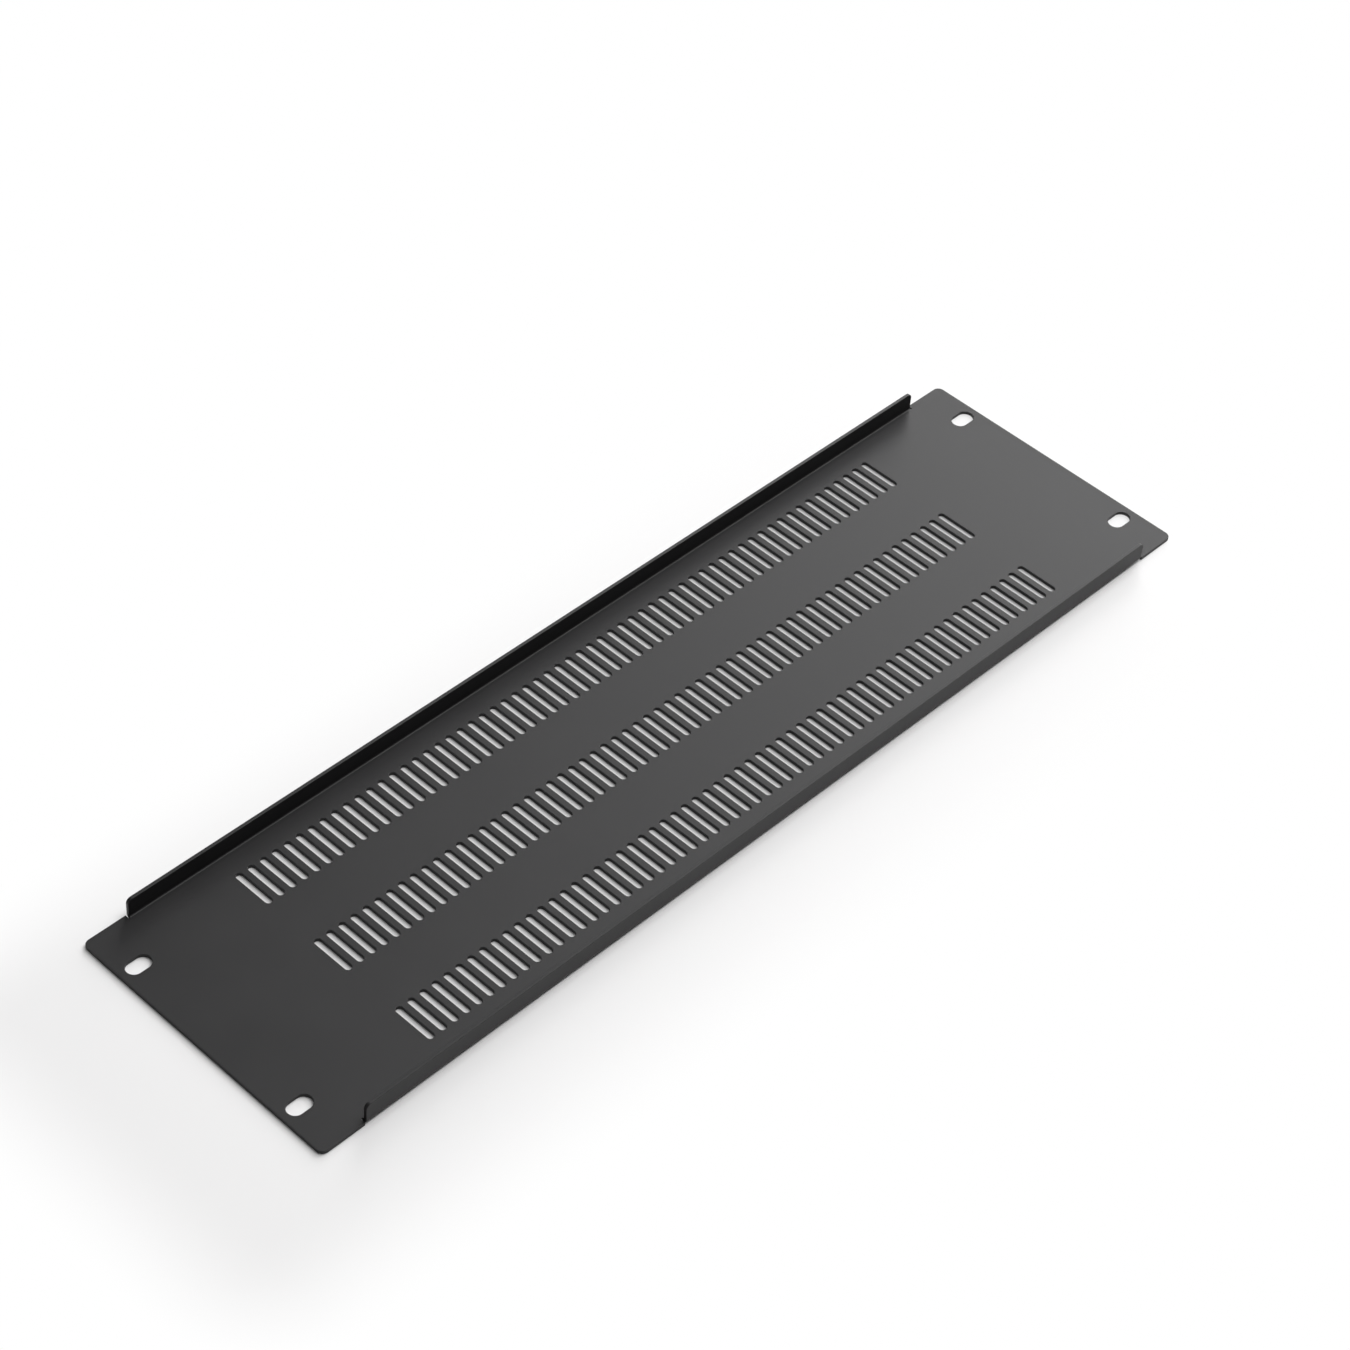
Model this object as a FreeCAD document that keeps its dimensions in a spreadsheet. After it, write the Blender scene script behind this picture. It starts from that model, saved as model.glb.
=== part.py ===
import FreeCAD, Part
import Sketcher
import math
import os

V = FreeCAD.Vector

doc = FreeCAD.newDocument("rack_blanking_panel")

# Sizes in millimetres, one alias per driving value
SIZES = [
    ("panel_width", 482.6),
    ("rack_unit", 44.45),
    ("unit_count", 3),
    ("height_clearance", 0.85),
    ("sheet_thickness", 1.5),
    ("bend_radius", 0.8),
    ("flange_height", 10.0),
    ("ear_width", 20.5),
    ("relief_width", 0.5),
    ("ear_corner_radius", 3.0),
    ("flange_corner_radius", 2.2),
    ("vent_width", 3.1),
    ("vent_length", 19.6),
    ("vent_pitch", 6.0),
    ("vent_columns", 60),
    ("screw_slot_width", 7.1),
    ("screw_slot_length", 11.0),
    ("screw_slot_inset", 8.75),
]
sheet = doc.addObject("Spreadsheet::Sheet", "Sizes")
for row, (name, value) in enumerate(SIZES, start=1):
    sheet.set("A%d" % row, name)
    sheet.set("B%d" % row, str(value))
    sheet.setAlias("B%d" % row, name)
doc.recompute()
size = dict(SIZES)

# Chords that stand for each half-round end of a vent, which repeats far too often for true arcs
END_CHORDS = 6

# How near two coordinates lie where they are the same, to pick out edges
TOUCH = 0.01

# Derived sizes, as the expressions that drive the sketches
PANEL_HEIGHT = "(Sizes.unit_count * Sizes.rack_unit - Sizes.height_clearance)"
FLANGE_INSET = "(Sizes.ear_width + Sizes.relief_width)"
FLANGE_LENGTH = "(Sizes.panel_width - 2 * %s)" % FLANGE_INSET
BEND_LINE = "(Sizes.sheet_thickness + Sizes.bend_radius)"
VENT_SPAN = "((Sizes.vent_columns - 1) * Sizes.vent_pitch)"
ROW_SPAN = "((Sizes.unit_count - 1) * Sizes.rack_unit)"
VENT_REACH = "(Sizes.vent_length - Sizes.vent_width)"
SCREW_SPAN = "(Sizes.panel_width - 2 * Sizes.screw_slot_inset)"
SCREW_REACH = "(Sizes.screw_slot_length - Sizes.screw_slot_width)"

# The same sizes as numbers, for the first placing of the sketch lines
width = size["panel_width"]
height = size["unit_count"] * size["rack_unit"] - size["height_clearance"]
thickness = size["sheet_thickness"]
bend_in = size["bend_radius"]
bend_out = bend_in + thickness
flange = size["flange_height"]
flange_length = width - 2 * (size["ear_width"] + size["relief_width"])
row_span = (size["unit_count"] - 1) * size["rack_unit"]
vent_span = (size["vent_columns"] - 1) * size["vent_pitch"]
screw_span = width - 2 * size["screw_slot_inset"]

body = doc.addObject("PartDesign::Body", "panel")
body.Label = "panel"


def origin_feature(role):
    # The body's own plane or axis with this role
    return [f for f in body.Origin.OriginFeatures if f.Role == role][0]


def new_sketch(name, role):
    sk = body.newObject("Sketcher::SketchObject", name)
    sk.AttachmentSupport = [(origin_feature(role), "")]
    sk.MapMode = "FlatFace"
    return sk


def line(sk, x1, y1, x2, y2):
    return sk.addGeometry(Part.LineSegment(V(x1, y1, 0), V(x2, y2, 0)), False)


def arc(sk, cx, cy, radius, start_deg, end_deg):
    circle = Part.Circle(V(cx, cy, 0), V(0, 0, 1), radius)
    start = math.radians(start_deg)
    end = math.radians(end_deg)
    return sk.addGeometry(Part.ArcOfCircle(circle, start, end), False)


def constrain(sk, *args):
    return sk.addConstraint(Sketcher.Constraint(*args))


def drive(sk, name, expression, *args):
    # A named dimension whose value comes from the sheet
    index = constrain(sk, *args)
    sk.renameConstraint(index, name)
    sk.setExpression("Constraints." + name, expression)
    return index


def check(feature):
    # Stops the build at the first feature that did not come out
    doc.recompute()
    bad = [s for s in feature.State if s in ("Invalid", "Error")]
    if bad or feature.Shape.isNull():
        raise RuntimeError("feature %s failed: %s" % (feature.Name, feature.State))
    return feature


def centred_rectangle(sk, half_x, half_y, x_expression, y_expression):
    bottom = line(sk, -half_x, -half_y, half_x, -half_y)
    right = line(sk, half_x, -half_y, half_x, half_y)
    top = line(sk, half_x, half_y, -half_x, half_y)
    left = line(sk, -half_x, half_y, -half_x, -half_y)
    constrain(sk, "Coincident", bottom, 2, right, 1)
    constrain(sk, "Coincident", right, 2, top, 1)
    constrain(sk, "Coincident", top, 2, left, 1)
    constrain(sk, "Coincident", left, 2, bottom, 1)
    constrain(sk, "Horizontal", bottom)
    constrain(sk, "Horizontal", top)
    constrain(sk, "Vertical", right)
    constrain(sk, "Vertical", left)
    constrain(sk, "Symmetric", bottom, 1, right, 2, -1, 1)
    drive(sk, "size_x", x_expression, "DistanceX", bottom, 1, bottom, 2, 2 * half_x)
    drive(sk, "size_y", y_expression, "DistanceY", right, 1, right, 2, 2 * half_y)


def rounded_slot(sk, cx, cy, slot_width, slot_length):
    # A level obround: two half circles joined by two straight sides
    r = slot_width / 2.0
    reach = slot_length / 2.0 - r
    first = arc(sk, cx + reach, cy, r, -90, 90)
    second = arc(sk, cx - reach, cy, r, 90, 270)
    side_a = line(sk, cx + reach, cy + r, cx - reach, cy + r)
    side_b = line(sk, cx - reach, cy - r, cx + reach, cy - r)
    constrain(sk, "Horizontal", side_a)
    constrain(sk, "Tangent", first, 2, side_a, 1)
    constrain(sk, "Tangent", side_a, 2, second, 1)
    constrain(sk, "Tangent", second, 2, side_b, 1)
    constrain(sk, "Tangent", side_b, 2, first, 1)
    constrain(sk, "Equal", first, second)
    return first, second


def chorded_slot(sk, cx, cy, slot_width, slot_length):
    # An upright obround: each end is a row of equal chords on its guide circle
    r = slot_width / 2.0
    reach = slot_length / 2.0 - r
    guides = []
    outline = []
    for end in (1, -1):
        centre_y = cy + end * reach
        guide = sk.addGeometry(Part.Circle(V(cx, centre_y, 0), V(0, 0, 1), r), True)
        corners = []
        for k in range(END_CHORDS + 1):
            angle = math.pi * k / END_CHORDS
            corners.append((cx + end * r * math.cos(angle), centre_y + end * r * math.sin(angle)))
        chords = [line(sk, *start, *stop) for start, stop in zip(corners, corners[1:])]
        for chord in chords:
            constrain(sk, "PointOnObject", chord, 1, guide)
        constrain(sk, "PointOnObject", chords[-1], 2, guide)
        for chord in chords[1:]:
            constrain(sk, "Equal", chords[0], chord)
        constrain(sk, "Horizontal", guide, 3, chords[0], 1)
        constrain(sk, "Horizontal", guide, 3, chords[-1], 2)
        side = line(sk, *corners[-1], corners[-1][0], cy - end * reach)
        outline += chords + [side]
        guides.append(guide)
    for this, following in zip(outline, outline[1:] + outline[:1]):
        constrain(sk, "Coincident", this, 2, following, 1)
    constrain(sk, "Equal", guides[0], guides[1])
    constrain(sk, "Vertical", guides[0], 3, guides[1], 3)
    return guides


# The flat plate, full width and height, with its mounting ears
plate_sketch = new_sketch("PlateOutline", "XY_Plane")
centred_rectangle(plate_sketch, width / 2, height / 2, "Sizes.panel_width", PANEL_HEIGHT)
plate = body.newObject("PartDesign::Pad", "Plate")
plate.Profile = plate_sketch
plate.setExpression("Length", "Sizes.sheet_thickness")
check(plate)

# Rounded outer corners of the two ears
corner_edges = []
for index, edge in enumerate(plate.Shape.Edges, start=1):
    ends = [v.Point for v in edge.Vertexes]
    if len(ends) == 2 and abs(ends[0].z - ends[1].z) > thickness / 2:
        corner_edges.append("Edge%d" % index)
ear_corners = body.newObject("PartDesign::Fillet", "EarCorners")
ear_corners.Base = (plate, corner_edges)
ear_corners.setExpression("Radius", "Sizes.ear_corner_radius")
check(ear_corners)

# Long edges cut back to the bend line, relief notches included
trim_sketch = new_sketch("BendTrim", "XY_Plane")
trim_half = width / 2 - size["ear_width"]
inner = height / 2 - thickness - bend_in
outer = height / 2 + thickness
trim_depth = "%s + Sizes.sheet_thickness" % BEND_LINE
half_inner = "%s / 2 - %s" % (PANEL_HEIGHT, BEND_LINE)
for name, side in (("upper", 1), ("lower", -1)):
    near = line(trim_sketch, -trim_half, side * inner, trim_half, side * inner)
    up = line(trim_sketch, trim_half, side * inner, trim_half, side * outer)
    far = line(trim_sketch, trim_half, side * outer, -trim_half, side * outer)
    down = line(trim_sketch, -trim_half, side * outer, -trim_half, side * inner)
    constrain(trim_sketch, "Coincident", near, 2, up, 1)
    constrain(trim_sketch, "Coincident", up, 2, far, 1)
    constrain(trim_sketch, "Coincident", far, 2, down, 1)
    constrain(trim_sketch, "Coincident", down, 2, near, 1)
    constrain(trim_sketch, "Vertical", up)
    constrain(trim_sketch, "Vertical", down)
    constrain(trim_sketch, "Horizontal", far)
    constrain(trim_sketch, "Symmetric", near, 1, near, 2, -2)
    drive(trim_sketch, name + "_length", "Sizes.panel_width - 2 * Sizes.ear_width",
          "DistanceX", near, 1, near, 2, 2 * trim_half)
    if side > 0:
        drive(trim_sketch, name + "_line", half_inner, "DistanceY", -1, 1, near, 1, inner)
        drive(trim_sketch, name + "_depth", trim_depth, "DistanceY", up, 1, up, 2, outer - inner)
    else:
        drive(trim_sketch, name + "_line", half_inner, "DistanceY", near, 1, -1, 1, inner)
        drive(trim_sketch, name + "_depth", trim_depth, "DistanceY", up, 2, up, 1, outer - inner)
trim = body.newObject("PartDesign::Pocket", "BendTrimCut")
trim.Profile = trim_sketch
trim.Type = 1
trim.Reversed = True
check(trim)

# Channel section: web and the two flanges folded up at right angles
fold_sketch = new_sketch("FoldSection", "YZ_Plane")
edge_y = height / 2
web_out = line(fold_sketch, -edge_y + bend_out, 0, edge_y - bend_out, 0)
arc_out_r = arc(fold_sketch, edge_y - bend_out, bend_out, bend_out, -90, 0)
wall_out_r = line(fold_sketch, edge_y, bend_out, edge_y, flange)
rim_r = line(fold_sketch, edge_y, flange, edge_y - thickness, flange)
wall_in_r = line(fold_sketch, edge_y - thickness, flange, edge_y - thickness, bend_out)
arc_in_r = arc(fold_sketch, edge_y - bend_out, bend_out, bend_in, -90, 0)
web_in = line(fold_sketch, edge_y - bend_out, thickness, -edge_y + bend_out, thickness)
arc_in_l = arc(fold_sketch, -edge_y + bend_out, bend_out, bend_in, 180, 270)
wall_in_l = line(fold_sketch, -edge_y + thickness, bend_out, -edge_y + thickness, flange)
rim_l = line(fold_sketch, -edge_y + thickness, flange, -edge_y, flange)
wall_out_l = line(fold_sketch, -edge_y, flange, -edge_y, bend_out)
arc_out_l = arc(fold_sketch, -edge_y + bend_out, bend_out, bend_out, 180, 270)
for first, first_end, second, second_end in (
    (web_out, 2, arc_out_r, 1),
    (arc_out_r, 2, wall_out_r, 1),
    (wall_in_r, 2, arc_in_r, 2),
    (arc_in_r, 1, web_in, 1),
    (web_in, 2, arc_in_l, 2),
    (arc_in_l, 1, wall_in_l, 1),
    (wall_out_l, 2, arc_out_l, 1),
    (arc_out_l, 2, web_out, 1),
):
    constrain(fold_sketch, "Tangent", first, first_end, second, second_end)
for first, second in ((wall_out_r, rim_r), (rim_r, wall_in_r), (wall_in_l, rim_l), (rim_l, wall_out_l)):
    constrain(fold_sketch, "Coincident", first, 2, second, 1)
constrain(fold_sketch, "Horizontal", rim_r)
constrain(fold_sketch, "Horizontal", rim_l)
constrain(fold_sketch, "Vertical", wall_out_r)
constrain(fold_sketch, "Vertical", wall_out_l)
constrain(fold_sketch, "Vertical", wall_in_r)
constrain(fold_sketch, "Coincident", arc_in_r, 3, arc_out_r, 3)
constrain(fold_sketch, "Coincident", arc_in_l, 3, arc_out_l, 3)
constrain(fold_sketch, "Equal", arc_in_r, arc_in_l)
constrain(fold_sketch, "Equal", rim_r, rim_l)
constrain(fold_sketch, "Symmetric", web_out, 1, web_out, 2, -2)
constrain(fold_sketch, "PointOnObject", web_out, 1, -1)
constrain(fold_sketch, "Symmetric", wall_out_r, 2, wall_out_l, 1, -2)
drive(fold_sketch, "overall_height", PANEL_HEIGHT,
      "DistanceX", wall_out_l, 1, wall_out_r, 2, height)
drive(fold_sketch, "flange_rise", "Sizes.flange_height",
      "DistanceY", -1, 1, wall_out_r, 2, flange)
drive(fold_sketch, "inner_bend", "Sizes.bend_radius", "Radius", arc_in_r, bend_in)
drive(fold_sketch, "thickness", "Sizes.sheet_thickness",
      "DistanceX", rim_r, 2, rim_r, 1, thickness)
folds = body.newObject("PartDesign::Pad", "FoldedFlanges")
folds.Profile = fold_sketch
folds.Midplane = True
folds.setExpression("Length", FLANGE_LENGTH)
check(folds)

# Rounded free corners at the flange ends
end_edges = []
for index, edge in enumerate(folds.Shape.Edges, start=1):
    ends = [v.Point for v in edge.Vertexes]
    if len(ends) != 2:
        continue
    at_top = min(ends[0].z, ends[1].z) > flange - TOUCH
    at_end = min(abs(ends[0].x), abs(ends[1].x)) > flange_length / 2 - TOUCH
    across = abs(ends[0].x - ends[1].x) < TOUCH
    if at_top and at_end and across:
        end_edges.append("Edge%d" % index)
flange_corners = body.newObject("PartDesign::Fillet", "FlangeCorners")
flange_corners.Base = (folds, end_edges)
flange_corners.setExpression("Radius", "Sizes.flange_corner_radius")
check(flange_corners)


def grid(name, cut, span_x, count_x, span_y, count_y):
    # Repeats one cut along both sheet directions; a cut splits no face, so none needs joining again
    pattern = body.newObject("PartDesign::MultiTransform", name)
    pattern.Refine = False
    pattern.Originals = [cut]
    steps = []
    for label, axis, span, count in (
        ("Across", "X_Axis", span_x, count_x),
        ("Up", "Y_Axis", span_y, count_y),
    ):
        step = doc.addObject("PartDesign::LinearPattern", name + label)
        body.addObject(step)
        step.Direction = (origin_feature(axis), [""])
        step.setExpression("Length", span)
        step.setExpression("Occurrences", count)
        steps.append(step)
    pattern.Transformations = steps
    body.Tip = pattern
    return check(pattern)


# Four mounting slots on the ears, spaced by whole rack units
screw_sketch = new_sketch("ScrewSlot", "XY_Plane")
screw_x = -screw_span / 2
screw_y = -row_span / 2
first, second = rounded_slot(screw_sketch, screw_x, screw_y, size["screw_slot_width"],
                             size["screw_slot_length"])
screw_reach = size["screw_slot_length"] - size["screw_slot_width"]
drive(screw_sketch, "end_radius", "Sizes.screw_slot_width / 2",
      "Radius", first, size["screw_slot_width"] / 2)
drive(screw_sketch, "reach", SCREW_REACH, "DistanceX", second, 3, first, 3, screw_reach)
drive(screw_sketch, "place_x", "%s / 2 + %s / 2" % (SCREW_SPAN, SCREW_REACH),
      "DistanceX", second, 3, -1, 1, screw_span / 2 + screw_reach / 2)
drive(screw_sketch, "place_y", "%s / 2" % ROW_SPAN, "DistanceY", second, 3, -1, 1, row_span / 2)
screw_cut = body.newObject("PartDesign::Pocket", "ScrewSlotCut")
screw_cut.Profile = screw_sketch
screw_cut.Type = 1
screw_cut.Reversed = True
check(screw_cut)
screw_slots = grid("ScrewSlots", screw_cut, SCREW_SPAN, "2", ROW_SPAN, "2")

# Vent slots: one upright obround, repeated into rows one rack unit apart
vent_sketch = new_sketch("VentSlot", "XY_Plane")
first, second = chorded_slot(vent_sketch, -vent_span / 2, -row_span / 2, size["vent_width"],
                             size["vent_length"])
vent_reach = size["vent_length"] - size["vent_width"]
drive(vent_sketch, "end_radius", "Sizes.vent_width / 2", "Radius", first, size["vent_width"] / 2)
drive(vent_sketch, "reach", VENT_REACH, "DistanceY", second, 3, first, 3, vent_reach)
drive(vent_sketch, "place_x", "%s / 2" % VENT_SPAN, "DistanceX", second, 3, -1, 1, vent_span / 2)
drive(vent_sketch, "place_y", "%s / 2 + %s / 2" % (ROW_SPAN, VENT_REACH),
      "DistanceY", second, 3, -1, 1, row_span / 2 + vent_reach / 2)
vent_cut = body.newObject("PartDesign::Pocket", "VentSlotCut")
vent_cut.Profile = vent_sketch
vent_cut.Type = 1
vent_cut.Reversed = True
check(vent_cut)
vents = grid("VentField", vent_cut, VENT_SPAN, "Sizes.vent_columns", ROW_SPAN, "Sizes.unit_count")

# Every sketch must be fully defined and every feature sound
body.Tip = vents
doc.recompute()
for sk in (plate_sketch, trim_sketch, fold_sketch, screw_sketch, vent_sketch):
    if not sk.FullyConstrained:
        raise RuntimeError("sketch %s is not fully defined" % sk.Name)
for item in doc.Objects:
    if "Invalid" in item.State or "Error" in item.State:
        raise RuntimeError("object %s is not sound: %s" % (item.Name, item.State))

# The panel must be one closed solid, and sound before the vents are cut
shape = body.Shape
if not screw_slots.Shape.isValid() or len(shape.Solids) != 1 or not shape.Shells[0].isClosed():
    raise RuntimeError("the panel is not one sound solid")
vent_count = size["unit_count"] * size["vent_columns"]
print("panel faces %d, volume %.0f mm3, vents %d" % (len(shape.Faces), shape.Volume, vent_count))

os.makedirs("parts", exist_ok=True)
body.Shape.exportStep("parts/panel.step")
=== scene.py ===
import math

import bpy
import numpy as np
from mathutils import Matrix, Vector, geometry


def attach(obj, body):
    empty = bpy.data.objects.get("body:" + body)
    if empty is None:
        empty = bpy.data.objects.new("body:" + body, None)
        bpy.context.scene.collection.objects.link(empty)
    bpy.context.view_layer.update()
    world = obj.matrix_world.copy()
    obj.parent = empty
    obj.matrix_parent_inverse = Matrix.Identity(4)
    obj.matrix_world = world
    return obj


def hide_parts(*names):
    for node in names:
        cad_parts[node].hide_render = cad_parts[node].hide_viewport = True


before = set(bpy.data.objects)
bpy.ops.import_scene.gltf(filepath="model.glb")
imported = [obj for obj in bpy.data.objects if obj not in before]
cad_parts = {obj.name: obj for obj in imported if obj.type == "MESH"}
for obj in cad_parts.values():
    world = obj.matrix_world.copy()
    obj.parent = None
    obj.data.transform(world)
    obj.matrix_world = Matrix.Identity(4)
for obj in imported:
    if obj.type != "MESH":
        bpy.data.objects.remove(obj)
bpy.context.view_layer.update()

# Sizes in metres, the same as the part's own
WIDTH = 0.4826
RACK_UNIT = 0.04445
UNITS = 3
HEIGHT = UNITS * RACK_UNIT - 0.00085
SHEET = 0.0015
BEND_INSIDE = 0.0008
FLANGE_RISE = 0.010
EAR = 0.0205
RELIEF = 0.0005
EAR_CORNER = 0.003
FLANGE_CORNER = 0.0022
VENT_WIDTH = 0.0031
VENT_LENGTH = 0.0196
VENT_PITCH = 0.006
VENT_COLUMNS = 60
SCREW_WIDTH = 0.0071
SCREW_LENGTH = 0.011
SCREW_INSET = 0.00875

# How far the coat rounds the sheet's edges, and the corners at the relief slits
EDGE_ROUND = 0.00016
SLIT_CORNER = 0.0002

# Steps in a quarter turn, apart from the slots' ends, where they are steps in a half turn
EDGE_STEPS = 3
BEND_STEPS = 8
CORNER_STEPS = 12
SLIT_CORNER_STEPS = 4
VENT_END_STEPS = 10
SCREW_END_STEPS = 20

# The sheet laid flat: where the fold starts, how much sheet it takes up, and where the flange ends
NEUTRAL_DEPTH = 0.44
FOLD_START = HEIGHT / 2 - SHEET - BEND_INSIDE
FOLD_LENGTH = (BEND_INSIDE + NEUTRAL_DEPTH * SHEET) * math.pi / 2
FLAT_REACH = FOLD_START + FOLD_LENGTH + FLANGE_RISE - SHEET - BEND_INSIDE
FOLD_LINES = [FOLD_START + FOLD_LENGTH * k / BEND_STEPS for k in range(BEND_STEPS + 1)]

# Tolerances: the same place, clear of a point, clear past the fold's start, and decimals to match by
SAME = 1e-7
CLEAR = 1e-5
PAST_FOLD = 1e-4
DECIMALS = 6

# How far in from the flange's end a fold line stops where no outline point lies on it
LINE_INSET = 0.0005

# The floor: half its width, how far it lies under the panel, and where its shadows turn to white
FLOOR_REACH = 12
FLOOR_GAP = 0.0001
SHADOW_SHIFT = (0.035, 0.012, 0)
SHADOW_FADE = 0.055

# Softboxes: name, azimuth and elevation in degrees, distance and size in metres, power in watts
SOFTBOXES = [
    ("low_left_softbox", 31, 20, 4.3, 1.9, 80),
    ("low_right_softbox", 0, 22, 4.3, 1.9, 37),
    ("side_left_softbox", 25, 42, 4.3, 1.9, 18),
    ("side_right_softbox", 0, 42, 4.3, 1.9, 76),
    ("high_softbox", -30, 65, 4.3, 1.9, 60),
    ("top_softbox", 0, 88, 3.0, 1.6, 19),
]


def rounded_outline(corners):
    """Points, each with its outward normal, round a closed outline whose inside lies on the left.

    Each corner is (x, y, radius, steps).
    """
    points = []
    count = len(corners)
    for i, (x, y, radius, steps) in enumerate(corners):
        here = Vector((x, y))
        to_last = (Vector(corners[i - 1][:2]) - here).normalized()
        to_next = (Vector(corners[(i + 1) % count][:2]) - here).normalized()
        turn = (-to_last).cross(to_next)
        centre = here + (to_last + to_next) * radius
        sign = 1 if turn > 0 else -1
        start = here + to_last * radius - centre
        for k in range(steps + 1):
            angle = sign * math.pi / 2 * k / steps
            spoke = Matrix.Rotation(angle, 2) @ start
            points.append((*(centre + spoke), *(spoke.normalized() * sign)))
    return points


def with_fold_points(points):
    """Adds a point wherever a straight flange end crosses a fold line."""
    lines = [side * y for y in FOLD_LINES for side in (1, -1)]
    made = []
    for here, there in zip(points, points[1:] + points[:1]):
        made.append(here)
        low, high = sorted((here[1], there[1]))
        upright = abs(here[0] - there[0]) <= SAME
        on_flange = high > FOLD_START + PAST_FOLD or low < -FOLD_START - PAST_FOLD
        if upright and on_flange:
            crossed = [y for y in lines if low + CLEAR < y < high - CLEAR]
            crossed.sort(reverse=here[1] > there[1])
            made += [(here[0], y, here[2], here[3]) for y in crossed]
    return made


def sheet_outline():
    """The flat blank: two ears, a relief slit at each fold's end, and the two flanges laid out flat."""
    ear_x = WIDTH / 2
    slit_x = ear_x - EAR
    flange_x = slit_x - RELIEF
    upper_right = [
        (flange_x, FLAT_REACH, FLANGE_CORNER, CORNER_STEPS),
        (flange_x, FOLD_START, SLIT_CORNER, SLIT_CORNER_STEPS),
        (slit_x, FOLD_START, SLIT_CORNER, SLIT_CORNER_STEPS),
        (slit_x, HEIGHT / 2, SLIT_CORNER, SLIT_CORNER_STEPS),
        (ear_x, HEIGHT / 2, EAR_CORNER, CORNER_STEPS),
    ]
    lower_right = [(x, -y, r, n) for x, y, r, n in reversed(upper_right)]
    lower_left = [(-x, -y, r, n) for x, y, r, n in upper_right]
    upper_left = [(-x, y, r, n) for x, y, r, n in reversed(upper_right)]
    clockwise = upper_right + lower_right + lower_left + upper_left
    return with_fold_points(rounded_outline(clockwise[::-1]))


def slot_outline(x, y, length, width, upright, steps):
    """An obround hole, ordered clockwise so that the sheet lies on its left."""
    reach = (length - width) / 2
    points = []
    for end in (1, -1):
        for k in range(steps + 1):
            angle = math.pi * k / steps
            nx = -end * math.cos(angle)
            ny = end * math.sin(angle)
            px = nx * width / 2
            py = ny * width / 2 + end * reach
            points.append((px, py, -nx, -ny))
    if not upright:
        points = [(py, -px, ny, -nx) for px, py, nx, ny in points]
    return [(x + px, y + py, nx, ny) for px, py, nx, ny in points]


def all_holes():
    """The rows of vents, one rack unit apart, and the four mounting slots in the ears."""
    holes = []
    for row in range(UNITS):
        y = (row - (UNITS - 1) / 2) * RACK_UNIT
        for column in range(VENT_COLUMNS):
            x = (column - (VENT_COLUMNS - 1) / 2) * VENT_PITCH
            holes.append(slot_outline(x, y, VENT_LENGTH, VENT_WIDTH, True, VENT_END_STEPS))
    for side_x in (1, -1):
        for side_y in (1, -1):
            x = side_x * (WIDTH / 2 - SCREW_INSET)
            y = side_y * (UNITS - 1) / 2 * RACK_UNIT
            holes.append(slot_outline(x, y, SCREW_LENGTH, SCREW_WIDTH, False, SCREW_END_STEPS))
    return holes


def face_points(contour):
    """A contour's points where the edge rounding meets the flat face."""
    return [(x - EDGE_ROUND * nx, y - EDGE_ROUND * ny) for x, y, nx, ny in contour]


def inside(points, polygon):
    """Which of the points lie inside a closed polygon."""
    x, y = points[:, 0], points[:, 1]
    found = np.zeros(len(points), bool)
    for (x1, y1), (x2, y2) in zip(polygon, np.roll(polygon, -1, axis=0)):
        crosses = (y1 > y) != (y2 > y)
        if y1 != y2:
            found ^= crosses & (x < (x2 - x1) * (y - y1) / (y2 - y1) + x1)
    return found


def flat_faces(contours):
    """Triangles of the flat face between the outline and the holes, with the fold lines as edges."""
    verts = [Vector(p) for contour in contours for p in face_points(contour)]
    edges = []
    start = 0
    for contour in contours:
        n = len(contour)
        edges += [(start + i, start + (i + 1) % n) for i in range(n)]
        start += n

    # Each fold line joins the flange's two ends
    line_end = WIDTH / 2 - EAR - RELIEF - EDGE_ROUND
    outline = verts[:len(contours[0])]
    found = {(round(v.x, DECIMALS), round(v.y, DECIMALS)): i for i, v in enumerate(outline)}
    for side in (1, -1):
        for y in FOLD_LINES:
            pair = []
            for x in (-line_end, line_end):
                index = found.get((round(x, DECIMALS), round(side * y, DECIMALS)))
                if index is None:
                    index = len(verts)
                    verts.append(Vector((x - math.copysign(LINE_INSET, x), side * y)))
                pair.append(index)
            edges.append(tuple(pair))

    out_verts, _, out_faces, origins, _, _ = geometry.delaunay_2d_cdt(verts, edges, [], 0, SAME)
    if len(out_verts) != len(verts):
        raise RuntimeError("the flat face gained points: %d, not %d" % (len(out_verts), len(verts)))
    triangles = np.array(out_faces)
    centres = np.array([tuple(v) for v in out_verts])[triangles].mean(axis=1)
    keep = inside(centres, np.array(face_points(contours[0])))
    for contour in contours[1:]:
        keep &= ~inside(centres, np.array(face_points(contour)))
    return verts, [tuple(origins[i][0] for i in t) for t in triangles[keep]]


def folded(point, normal):
    """Folds a point of the flat blank, and its normal, up into the flange."""
    x, y, z = point
    side = 1 if y > 0 else -1
    past = abs(y) - FOLD_START
    if past <= 0 or abs(x) > WIDTH / 2 - EAR - RELIEF / 2:
        return point, normal
    angle = min(past / FOLD_LENGTH, 1) * math.pi / 2
    radius = BEND_INSIDE + SHEET - z
    up = max(past - FOLD_LENGTH, 0)
    out = FOLD_START + radius * math.sin(angle)
    rise = SHEET + BEND_INSIDE - radius * math.cos(angle) + up
    nx, ny, nz = normal
    ny *= side
    turned_y = ny * math.cos(angle) - nz * math.sin(angle)
    turned_z = ny * math.sin(angle) + nz * math.cos(angle)
    return (x, side * out, rise), (nx, side * turned_y, turned_z)


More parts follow.
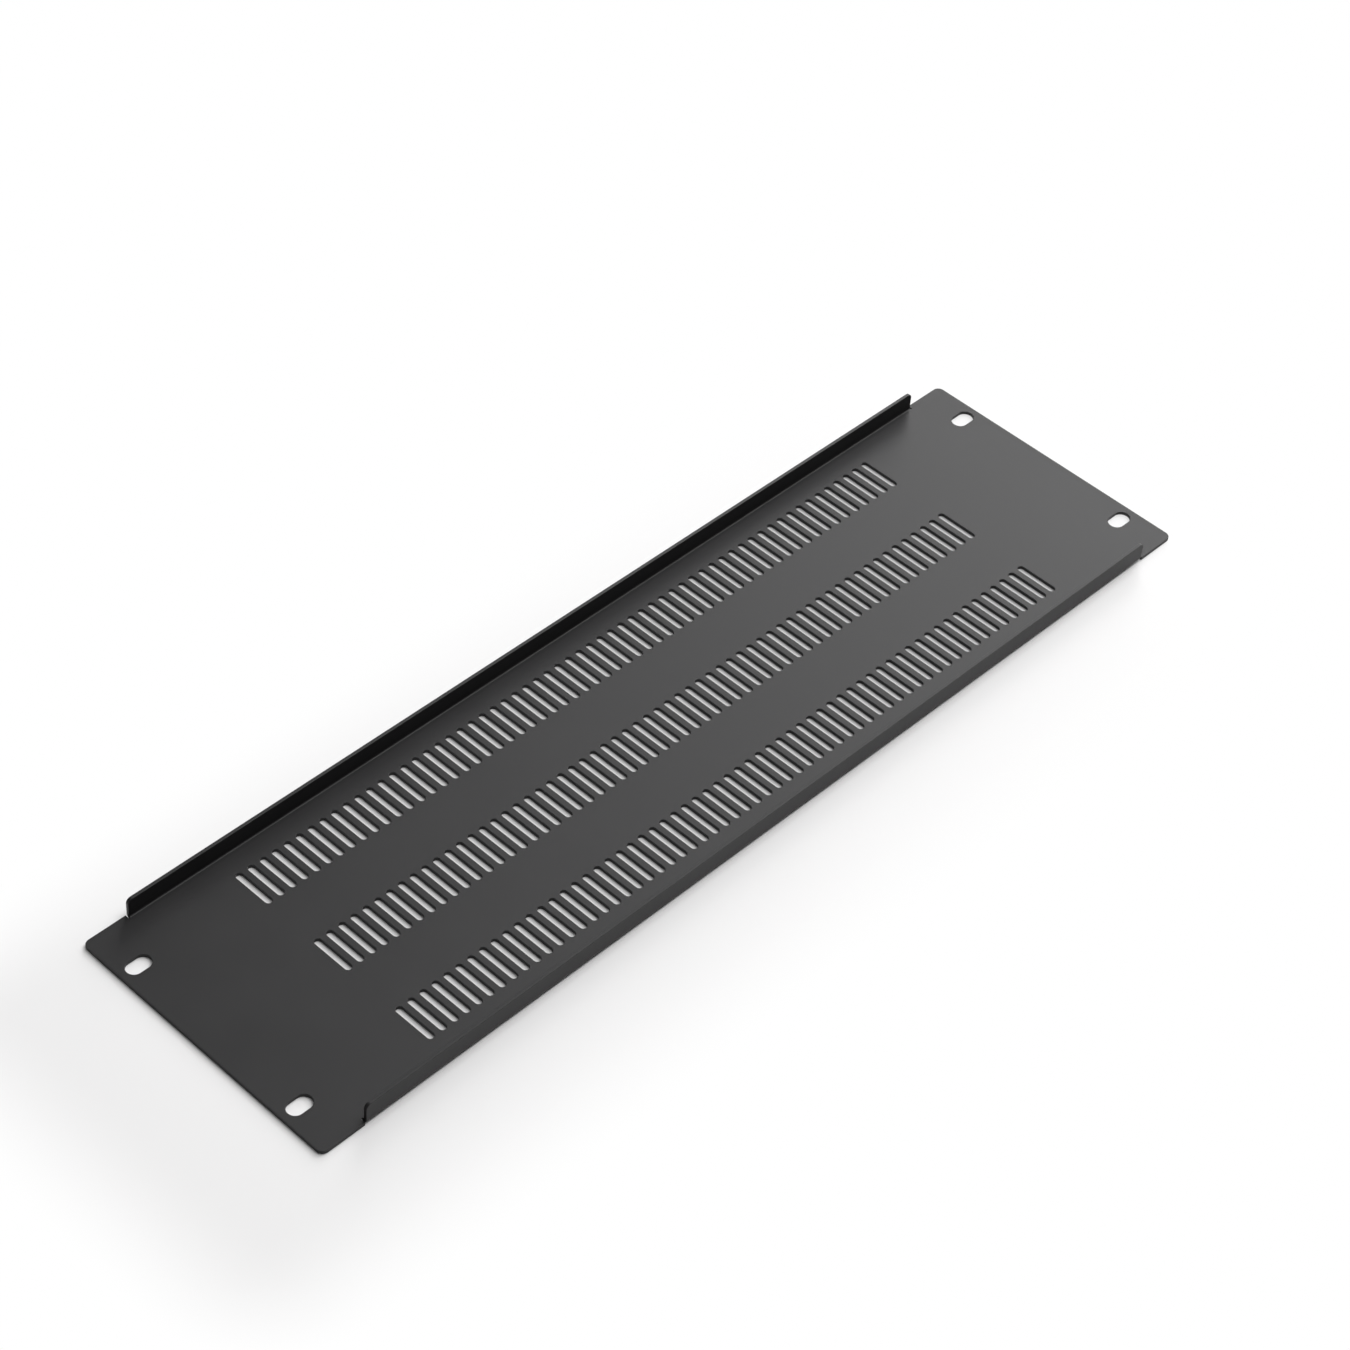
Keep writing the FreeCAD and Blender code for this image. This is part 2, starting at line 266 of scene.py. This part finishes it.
def edge_profile():
    """Insets, heights and normal angles down an edge: rounded, straight through the sheet, rounded."""
    upper = []
    for k in range(1, EDGE_STEPS + 1):
        angle = math.pi / 2 * k / EDGE_STEPS
        inset = EDGE_ROUND * (1 - math.sin(angle))
        drop = EDGE_ROUND * (1 - math.cos(angle))
        upper.append((inset, SHEET - drop, angle))
    lower = [(inset, SHEET - z, math.pi - angle) for inset, z, angle in reversed(upper)]
    return upper + lower


def sheet_mesh():
    """The whole sheet as one closed mesh with rounded edges, folded to shape."""
    contours = [sheet_outline()] + all_holes()
    flat, triangles = flat_faces(contours)
    verts = []
    normals = []
    faces = []

    # The rear face, then the front face
    for z, up in ((SHEET, 1), (0.0, -1)):
        base = len(verts)
        for v in flat:
            verts.append((v.x, v.y, z))
            normals.append((0, 0, up))
        for triangle in triangles:
            faces.append(tuple(base + i for i in triangle[::up]))
    front = len(flat)

    # Rounded edges and walls, from the rear face's edge down to the front face's
    profile = edge_profile()
    start = 0
    for contour in contours:
        n = len(contour)
        rings = [range(start, start + n)]
        for inset, z, angle in profile:
            rings.append(range(len(verts), len(verts) + n))
            for x, y, nx, ny in contour:
                verts.append((x - inset * nx, y - inset * ny, z))
                normals.append((nx * math.sin(angle), ny * math.sin(angle), math.cos(angle)))
        rings.append(range(front + start, front + start + n))
        for above, below in zip(rings, rings[1:]):
            for i in range(n):
                j = (i + 1) % n
                faces.append((above[j], above[i], below[i], below[j]))
        start += n

    shaped = [folded(v, n) for v, n in zip(verts, normals)]
    mesh = bpy.data.meshes.new("panel_sheet")
    mesh.from_pydata([point for point, _ in shaped], [], faces)
    mesh.shade_smooth()
    mesh.normals_split_custom_set_from_vertices([normal for _, normal in shaped])
    mesh.validate()
    return mesh


def new_material(name):
    """A node material, with its tree and its surface shader."""
    material = bpy.data.materials.new(name)
    material.use_nodes = True
    tree = material.node_tree
    return material, tree, tree.nodes["Principled BSDF"]


def node(tree, kind, links=(), values=(), **settings):
    """A new node with its settings, its inputs' values and what is linked to its inputs."""
    made = tree.nodes.new(kind)
    for name, value in settings.items():
        setattr(made, name, value)
    for key, value in values:
        made.inputs[key].default_value = value
    for key, socket in links:
        tree.links.new(socket, made.inputs[key])
    return made


def powder_coat():
    """Satin black powder coat: fine orange-peel bump, slightly uneven gloss and tone."""
    material, tree, shader = new_material("powder_coat")
    place = node(tree, "ShaderNodeTexCoord").outputs["Object"]

    # Cloudy variation of tone and gloss over some centimetres
    cloud = node(tree, "ShaderNodeTexNoise", [("Vector", place)], [("Scale", 35), ("Detail", 3)])
    tone = node(tree, "ShaderNodeValToRGB", [("Fac", cloud.outputs["Fac"])])
    darker, lighter = tone.color_ramp.elements
    darker.position = 0.3
    darker.color = (0.0125, 0.0120, 0.0128, 1)
    lighter.position = 0.7
    lighter.color = (0.0150, 0.0145, 0.0152, 1)
    tree.links.new(tone.outputs["Color"], shader.inputs["Base Color"])
    gloss = node(tree, "ShaderNodeMapRange", [("Value", cloud.outputs["Fac"])],
                 [("To Min", 0.47), ("To Max", 0.53)])
    tree.links.new(gloss.outputs["Result"], shader.inputs["Roughness"])
    shader.inputs["Specular IOR Level"].default_value = 0.37

    # Orange peel of the coat, under a millimetre across
    peel = node(tree, "ShaderNodeTexNoise", [("Vector", place)], [("Scale", 1400), ("Detail", 2)])
    bump = node(tree, "ShaderNodeBump", [("Height", peel.outputs["Fac"])],
                [("Strength", 0.25), ("Distance", 0.00004)])
    tree.links.new(bump.outputs["Normal"], shader.inputs["Normal"])
    return material


def floor_material():
    """Pale studio paper that keeps the shadows and turns to plain white away from the panel."""
    material, tree, shader = new_material("studio_floor")
    shader.inputs["Base Color"].default_value = (0.88, 0.875, 0.875, 1)
    shader.inputs["Roughness"].default_value = 0.9
    shader.inputs["Specular IOR Level"].default_value = 0.1

    # How far a point of the floor lies outside the panel's outline, moved a little towards the shadows
    place = node(tree, "ShaderNodeTexCoord").outputs["Object"]
    shifted = node(tree, "ShaderNodeVectorMath", [(0, place)], [(1, SHADOW_SHIFT)], operation="ADD")
    away = node(tree, "ShaderNodeVectorMath", [(0, shifted.outputs["Vector"])], operation="ABSOLUTE")
    past = node(tree, "ShaderNodeVectorMath", [(0, away.outputs["Vector"])],
                [(1, (WIDTH / 2, HEIGHT / 2, 0))], operation="SUBTRACT")
    outside = node(tree, "ShaderNodeVectorMath", [(0, past.outputs["Vector"])],
                   [(1, (0, 0, 0))], operation="MAXIMUM")
    reach = node(tree, "ShaderNodeVectorMath", [(0, outside.outputs["Vector"])], operation="LENGTH")
    fade = node(tree, "ShaderNodeMapRange", [("Value", reach.outputs["Value"])],
                [("From Min", 0), ("From Max", SHADOW_FADE)], interpolation_type="SMOOTHSTEP")

    # White for what the camera, gloss and glass see, and plain paper for the light that it gives back
    path = node(tree, "ShaderNodeLightPath").outputs
    direct = node(tree, "ShaderNodeMath", [(0, path["Is Camera Ray"]), (1, path["Is Glossy Ray"])],
                  operation="MAXIMUM")
    seen = node(tree, "ShaderNodeMath",
                [(0, direct.outputs["Value"]), (1, path["Is Transmission Ray"])], operation="MAXIMUM")
    share = node(tree, "ShaderNodeMath",
                 [(0, fade.outputs["Result"]), (1, seen.outputs["Value"])], operation="MULTIPLY")
    white = node(tree, "ShaderNodeEmission", (), [("Color", (1, 1, 1, 1)), ("Strength", 1)])
    blend = node(tree, "ShaderNodeMixShader",
                 [("Fac", share.outputs["Value"]), (1, shader.outputs["BSDF"]),
                  (2, white.outputs["Emission"])])
    tree.links.new(blend.outputs["Shader"], tree.nodes["Material Output"].inputs["Surface"])
    return material


def new_object(name, data):
    """An object in the scene, named as its data is."""
    made = bpy.data.objects.new(name, data)
    bpy.context.scene.collection.objects.link(made)
    return made


def make_panel():
    """The powder coated sheet, which stands for the part's one solid."""
    panel = new_object("panel_sheet", sheet_mesh())
    panel.data.materials.append(powder_coat())
    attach(panel, "root")
    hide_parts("panel")


def make_floor():
    """A wide flat floor, just under the panel."""
    mesh = bpy.data.meshes.new("floor")
    signs = [(-1, -1), (1, -1), (1, 1), (-1, 1)]
    corners = [(x * FLOOR_REACH, y * FLOOR_REACH, -FLOOR_GAP) for x, y in signs]
    mesh.from_pydata(corners, [], [(0, 1, 2, 3)])
    floor = new_object("floor", mesh)
    floor.data.materials.append(floor_material())


def soft_light(name, azimuth, elevation, distance, size, watts):
    """A square softbox aimed at the panel; angles in degrees, the azimuth from +X towards +Y."""
    lamp = bpy.data.lights.new(name, "AREA")
    lamp.shape = "SQUARE"
    lamp.size = size
    lamp.energy = watts
    holder = new_object(name, lamp)
    across, up = math.radians(azimuth), math.radians(elevation)
    towards = Vector((math.cos(across) * math.cos(up), math.sin(across) * math.cos(up), math.sin(up)))
    holder.location = towards * distance
    holder.rotation_euler = towards.to_track_quat("Z", "Y").to_euler()


def make_light():
    """The softboxes and a faint even light from all round."""
    for softbox in SOFTBOXES:
        soft_light(*softbox)
    world = bpy.data.worlds.new("studio")
    world.use_nodes = True
    bpy.context.scene.world = world
    background = world.node_tree.nodes["Background"]
    background.inputs["Color"].default_value = (1, 1, 1, 1)
    background.inputs["Strength"].default_value = 0.06


def make_camera():
    """The photograph's own viewpoint, fitted to the panel's edges and slots."""
    camera = bpy.data.cameras.new("camera")
    camera.sensor_width = 36
    camera.lens = 91.09
    camera.clip_start = 0.05
    camera.clip_end = 60
    holder = new_object("camera", camera)
    right = Vector((0.69563730, -0.71560545, 0.06322652))
    up = Vector((0.47106343, 0.52082077, 0.71193046))
    back = Vector((-0.54239100, -0.46546168, 0.69939791))
    turn = Matrix((right, up, back)).transposed()
    holder.matrix_world = Matrix.Translation((-0.725361, -0.624464, 0.966062)) @ turn.to_4x4()
    bpy.context.scene.camera = holder


make_camera()
make_floor()
make_light()
make_panel()
bpy.context.scene.view_settings.view_transform = "Standard"
